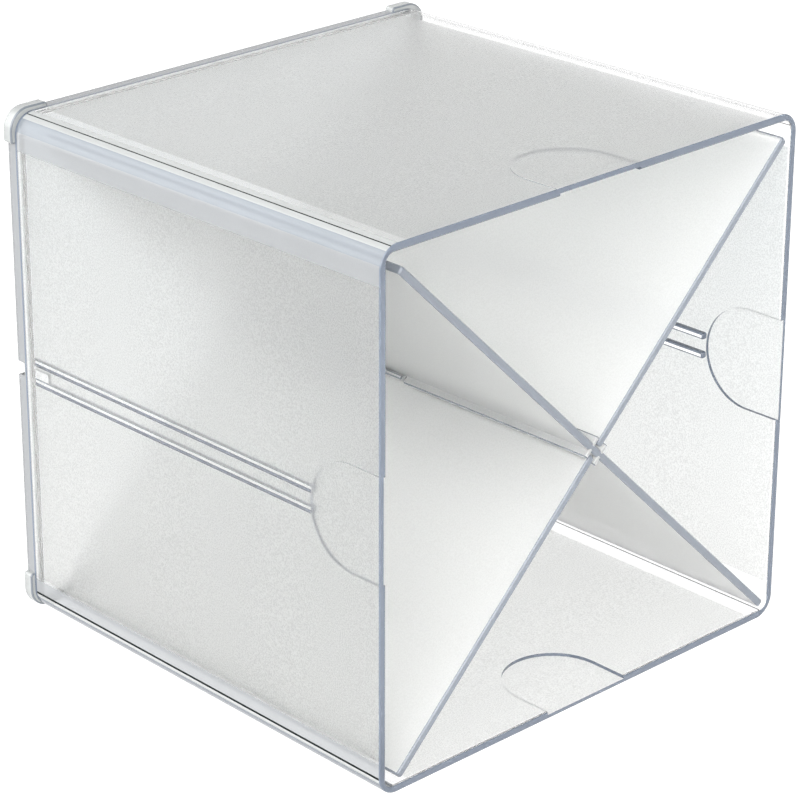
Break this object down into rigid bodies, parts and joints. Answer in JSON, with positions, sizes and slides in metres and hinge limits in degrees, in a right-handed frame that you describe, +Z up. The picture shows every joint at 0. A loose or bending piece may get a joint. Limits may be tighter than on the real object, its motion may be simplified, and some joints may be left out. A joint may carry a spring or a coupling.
{
  "type": "stackable display cube",
  "caption": "Clear plastic open-front desk and display cube with a loose X of halving divider panels, thumb recesses and stacking lips.",
  "frame": {"origin": "bottom centre of the whole cube, on the plane that it stands on", "axes": "+Z up, the open front faces -Y, +X to the right as seen from the open front"},
  "size_m": [0.1524, 0.1454, 0.1488],
  "materials": {
    "shell_plastic": "clear polystyrene, fine frosted faces between polished corner strips",
    "divider_plastic": "translucent polystyrene, satin faces, polished edges"
  },
  "bodies": {
    "cube": {"shell": "shell_plastic"},
    "carrier_panel": {"front_slotted_divider": "divider_plastic"},
    "rider_panel": {"back_slotted_divider": "divider_plastic"}
  },
  "joints": [
    {"name": "carrier_panel_slide", "type": "slide", "parent": "cube", "child": "carrier_panel", "axis": [0, -1, 0], "range_m": [0, 0.145]},
    {"name": "rider_panel_slide", "type": "slide", "parent": "carrier_panel", "child": "rider_panel", "axis": [0, -1, 0], "range_m": [0, 0.145]}
  ]
}
